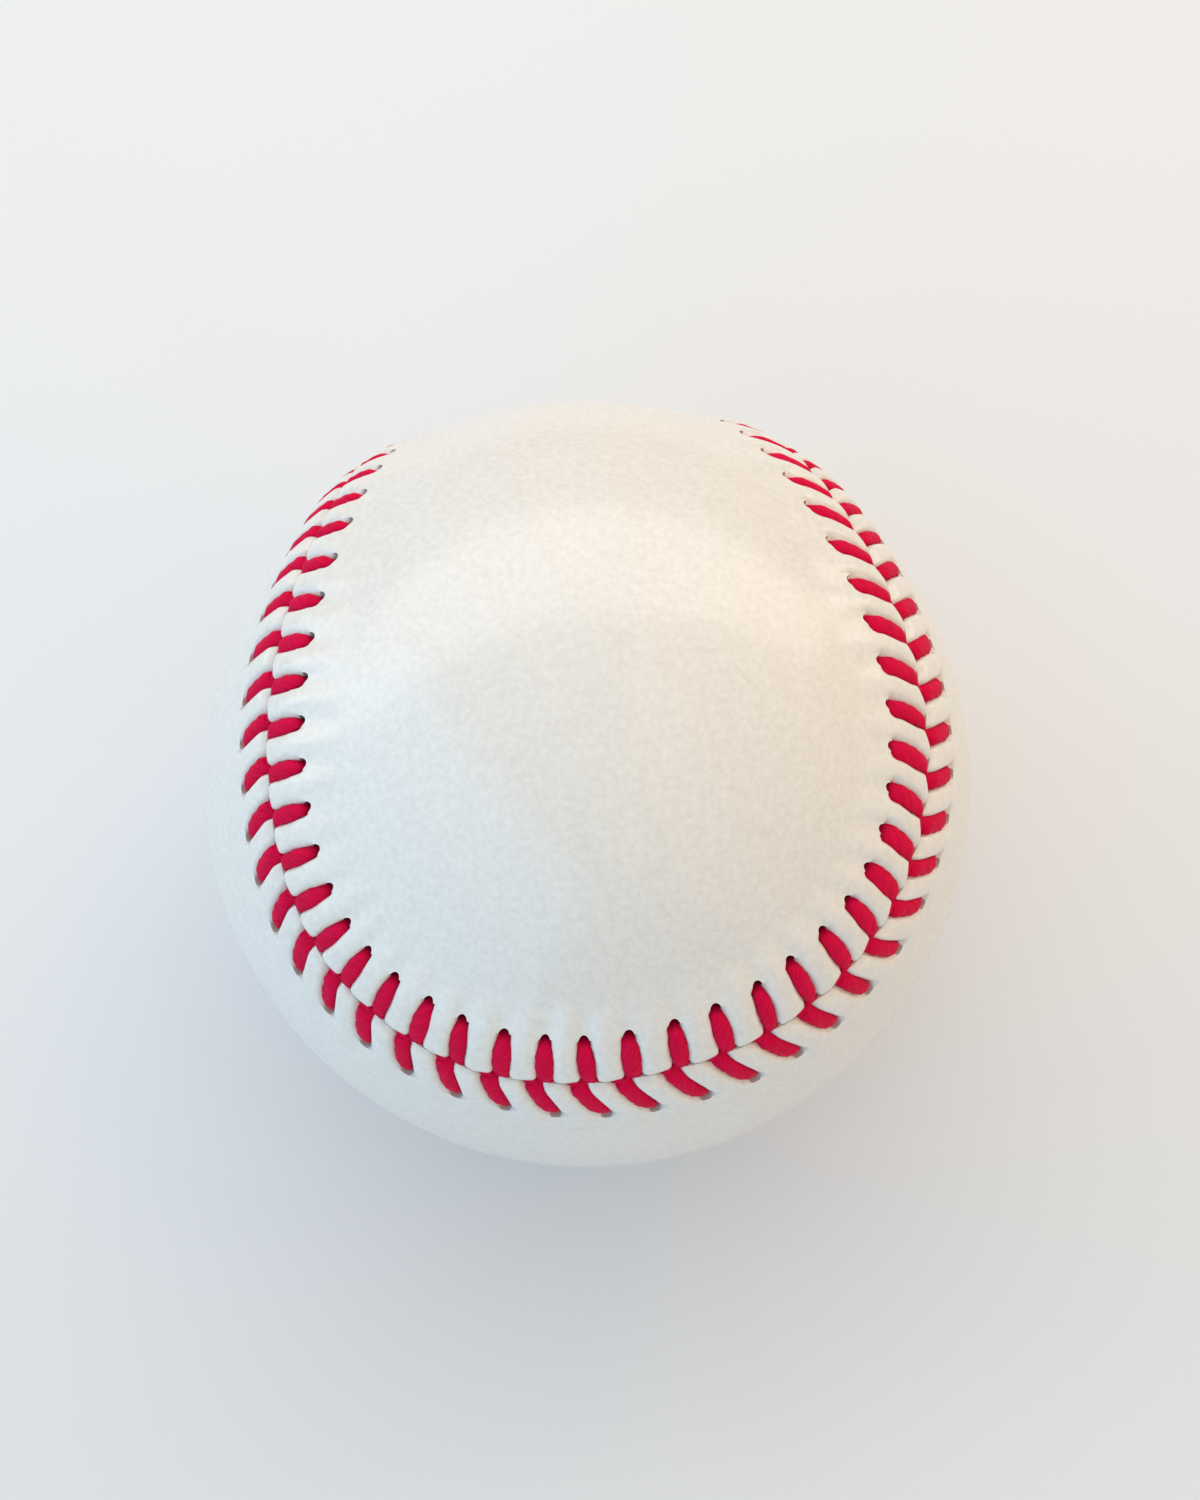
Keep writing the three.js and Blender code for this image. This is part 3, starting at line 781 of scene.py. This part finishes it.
class Look:
    """A material that is built up node by node, in the piece's own millimetres."""

    def __init__(self, name, sockets):
        self.material = bpy.data.materials.new(name)
        self.material.use_nodes = True
        self.tree = self.material.node_tree
        self.shader = self.tree.nodes["Principled BSDF"]
        for socket, value in sockets.items():
            self.shader.inputs[socket].default_value = value

    def add(self, kind, inputs, **settings):
        node = self.tree.nodes.new("ShaderNode" + kind)
        for name, value in settings.items():
            setattr(node, name, value)
        for socket, value in inputs.items():
            if isinstance(value, bpy.types.NodeSocket):
                self.tree.links.new(value, node.inputs[socket])
            else:
                node.inputs[socket].default_value = value
        return node

    def place(self):
        """Coordinates on the piece, in millimetres."""
        spot = self.add("TexCoord", {}).outputs["Object"]
        return self.add("Mapping", {"Vector": spot, "Scale": (1 / MM,) * 3}).outputs["Vector"]

    def noise(self, place, scale, detail=2.0, rough=0.5):
        inputs = {"Vector": place, "Scale": scale, "Detail": detail, "Roughness": rough}
        return self.add("TexNoise", inputs).outputs["Fac"]

    def fibres(self, stretch):
        """Coordinates along a yarn and round it, stretched so that noise on them makes strands."""
        fibre = self.add("Attribute", {}, attribute_name="fibre").outputs["Vector"]
        return self.add("Mapping", {"Vector": fibre, "Scale": stretch}).outputs["Vector"]

    def spread(self, value, low, high, start=0.0, end=1.0):
        """Maps a value between start and end to one between low and high."""
        ends = {"Value": value, "From Min": start, "From Max": end, "To Min": low, "To Max": high}
        return self.add("MapRange", ends).outputs["Result"]

    def tint(self, value, dark, light):
        ramp = self.add("ValToRGB", {"Fac": value})
        ramp.color_ramp.elements[0].color = (*dark, 1)
        ramp.color_ramp.elements[1].color = (*light, 1)
        return ramp.outputs["Color"]

    def bump(self, height, depth, onto=None):
        inputs = {"Height": height, "Distance": depth * MM, "Strength": 1.0}
        if onto:
            inputs["Normal"] = onto
        return self.add("Bump", inputs).outputs["Normal"]

    def drive(self, socket, value):
        self.tree.links.new(value, self.shader.inputs[socket])


def leather_look():
    look = Look("leather", {"Specular IOR Level": LEATHER_SPECULAR})
    place = look.place()
    mottling = look.spread(look.noise(place, **MOTTLING), 0, 1, *CONTRAST)
    patches = look.tint(mottling, LEATHER_DARK, LEATHER_LIGHT)
    # the raw back, and the hole walls as painted shade and dirt, are mixed towards a dark colour
    raw_or_shaded = look.add("Attribute", {}, attribute_name="raw_or_shaded").outputs["Fac"]
    ends = {"Factor": raw_or_shaded, COLOUR_A: patches, COLOUR_B: (*RAW_LEATHER_AND_HOLE_SHADE, 1)}
    skin_raw_or_shaded = look.add("Mix", ends, data_type="RGBA")
    look.drive("Base Color", skin_raw_or_shaded.outputs[COLOUR_RESULT])
    look.drive("Roughness", look.spread(look.noise(place, **GLOSS_PATCHES), *LEATHER_ROUGHNESS))
    wrinkles = look.bump(look.noise(place, **WRINKLES), WRINKLE_DEPTH)
    look.drive("Normal", look.bump(look.noise(place, **LEATHER_GRAIN), LEATHER_GRAIN_DEPTH, wrinkles))
    return look.material


def thread_look():
    look = Look("thread", {"Specular IOR Level": THREAD_SPECULAR})
    strands = look.noise(look.fibres(THREAD_FIBRES), **THREAD_STRANDS)
    look.drive("Base Color", look.tint(look.spread(strands, 0, 1, *CONTRAST), THREAD_DARK, THREAD_LIGHT))
    look.drive("Roughness", look.spread(look.noise(look.place(), **THREAD_WAX), *THREAD_ROUGHNESS))
    look.drive("Normal", look.bump(strands, THREAD_DEPTH))
    return look.material


def yarn_look(name, dark, light):
    look = Look(name, {"Specular IOR Level": YARN_SPECULAR, "Sheen Weight": YARN_SHEEN})
    strands = look.noise(look.fibres(YARN_FIBRES), **YARN_STRANDS)
    look.drive("Base Color", look.tint(look.spread(strands, 0, 1, *CONTRAST), dark, light))
    look.drive("Roughness", look.spread(look.noise(look.place(), **YARN_FUZZ), *YARN_ROUGHNESS))
    look.drive("Normal", look.bump(strands, YARN_DEPTH))
    return look.material


def rubber_look(name, dark, light):
    look = Look(name, {"Specular IOR Level": RUBBER_SPECULAR})
    place = look.place()
    look.drive("Base Color", look.tint(look.noise(place, **RUBBER_PATCHES), dark, light))
    look.drive("Roughness", look.spread(look.noise(place, **RUBBER_GLOSS), *RUBBER_ROUGHNESS))
    look.drive("Normal", look.bump(look.noise(place, **RUBBER_GRAIN), RUBBER_DEPTH))
    return look.material


def cork_look():
    look = Look("cork", {"Specular IOR Level": CORK_SPECULAR})
    place = look.place()
    grains = look.add("TexVoronoi", {"Vector": place, "Scale": CORK_CELLS}).outputs["Color"]
    shade = look.add("SeparateColor", {"Color": grains}).outputs["Red"]
    look.drive("Base Color", look.tint(shade, CORK_DARK, CORK_LIGHT))
    look.drive("Roughness", look.spread(look.noise(place, **CORK_GLOSS), *CORK_ROUGHNESS))
    look.drive("Normal", look.bump(look.noise(place, **CORK_PORES), CORK_DEPTH))
    return look.material


# Stage


def put_facing_ball(obj, turn, rise, distance):
    """Puts a lamp or a camera at a distance from the ball, facing it."""
    turn, rise = math.radians(turn), math.radians(rise)
    out = Vector((math.sin(turn) * math.cos(rise), -math.cos(turn) * math.cos(rise), math.sin(rise)))
    obj.location = out * distance
    obj.rotation_mode = "QUATERNION"
    obj.rotation_quaternion = (-out).to_track_quat("-Z", "Y")
    bpy.context.scene.collection.objects.link(obj)


def area_lamp(name, turn, rise, distance, size, glow):
    """Lamp that faces the ball, as bright as its glow whatever its size."""
    data = bpy.data.lights.new(name, "AREA")
    data.shape = "RECTANGLE"
    data.size, data.size_y = size
    data.energy = max(glow) * math.pi * size[0] * size[1]
    data.color = [share / max(glow) for share in glow]
    put_facing_ball(bpy.data.objects.new(name, data), turn, rise, distance)


def floor():
    look = Look("floor", {"Base Color": (*FLOOR, 1), "Roughness": FLOOR_ROUGHNESS})
    mesh = bpy.data.meshes.new("floor")
    corners_round = ((-1, -1), (1, -1), (1, 1), (-1, 1))
    spots = [(x * FLOOR_HALF, y * FLOOR_HALF, -BALL_RADIUS * MM) for x, y in corners_round]
    mesh.from_pydata(spots, [], [range(len(spots))])
    mesh.materials.append(look.material)
    made = bpy.data.objects.new("floor", mesh)
    bpy.context.scene.collection.objects.link(made)


def camera():
    data = bpy.data.cameras.new("camera")
    data.lens = CAMERA_LENS
    data.sensor_width = CAMERA_SENSOR
    data.shift_x, data.shift_y = CAMERA_SHIFT
    data.clip_start = CAMERA_NEAR
    made = bpy.data.objects.new("camera", data)
    put_facing_ball(made, CAMERA_TURN, CAMERA_RISE, CAMERA_DISTANCE)
    made.rotation_quaternion @= Quaternion((0, 0, 1), math.radians(CAMERA_ROLL))
    bpy.context.scene.camera = made


def world():
    made = bpy.data.worlds.new("studio")
    made.use_nodes = True
    background = made.node_tree.nodes["Background"]
    background.inputs["Color"].default_value = (*SURROUND, 1)
    background.inputs["Strength"].default_value = 1.0
    bpy.context.scene.world = made


looks = {"leather": leather_look(), "thread": thread_look(), "cork": cork_look()}
looks.update((name, yarn_look(name, *colours)) for name, colours in YARNS.items())
looks.update((name, rubber_look(name, *colours)) for name, colours in RUBBERS.items())
for letter, hand in (("a", 1), ("b", -1)):
    points, faces, raw_or_shaded = leather_panel(hand)
    node = "cover_panel_" + letter
    piece("leather_panel_" + letter, points, faces, looks["leather"], node, "leather", raw_or_shaded=raw_or_shaded)
for letter, offset in (("a", 0), ("b", 1)):
    points, faces, fibre = lacing_thread(offset)
    piece("lacing_" + letter, points, faces, looks["thread"], "thread_" + letter, "thread", fibre)

inner = outside("red_rubber_shell_upper") + CLEARANCE
for node, slot, yarn, turns in WINDINGS:
    points, faces, fibre = winding(outside(node), inner, yarn, turns)
    piece(node + "_yarn", points, faces, looks[slot], node, slot, fibre)
    inner = outside(node) + CLEARANCE

for half, way in (("upper", 1), ("lower", -1)):
    node = "red_rubber_shell_" + half
    points, faces = rubber_cup(node, (0, 0, way))
    piece("moulded_" + node, points, faces, looks["red_rubber"], node, "red_rubber")
    node = "black_rubber_cup_" + half
    points, faces = rubber_cup(node, (0, -way, 0))
    piece("moulded_" + node, points, faces, looks["black_rubber"], node, "black_rubber")
points, faces = rubber_washer("red_rubber_washer", (0, 1, 0))
piece("moulded_red_rubber_washer", points, faces, looks["red_rubber"], "red_rubber_washer", "red_rubber")
points, faces = cork_ball(outside("cork_core"))
piece("cork_ball", points, faces, looks["cork"], "cork_core", "cork")

floor()
world()
for lamp in LAMPS:
    area_lamp(*lamp)
camera()
bpy.context.scene.view_settings.view_transform = "Standard"
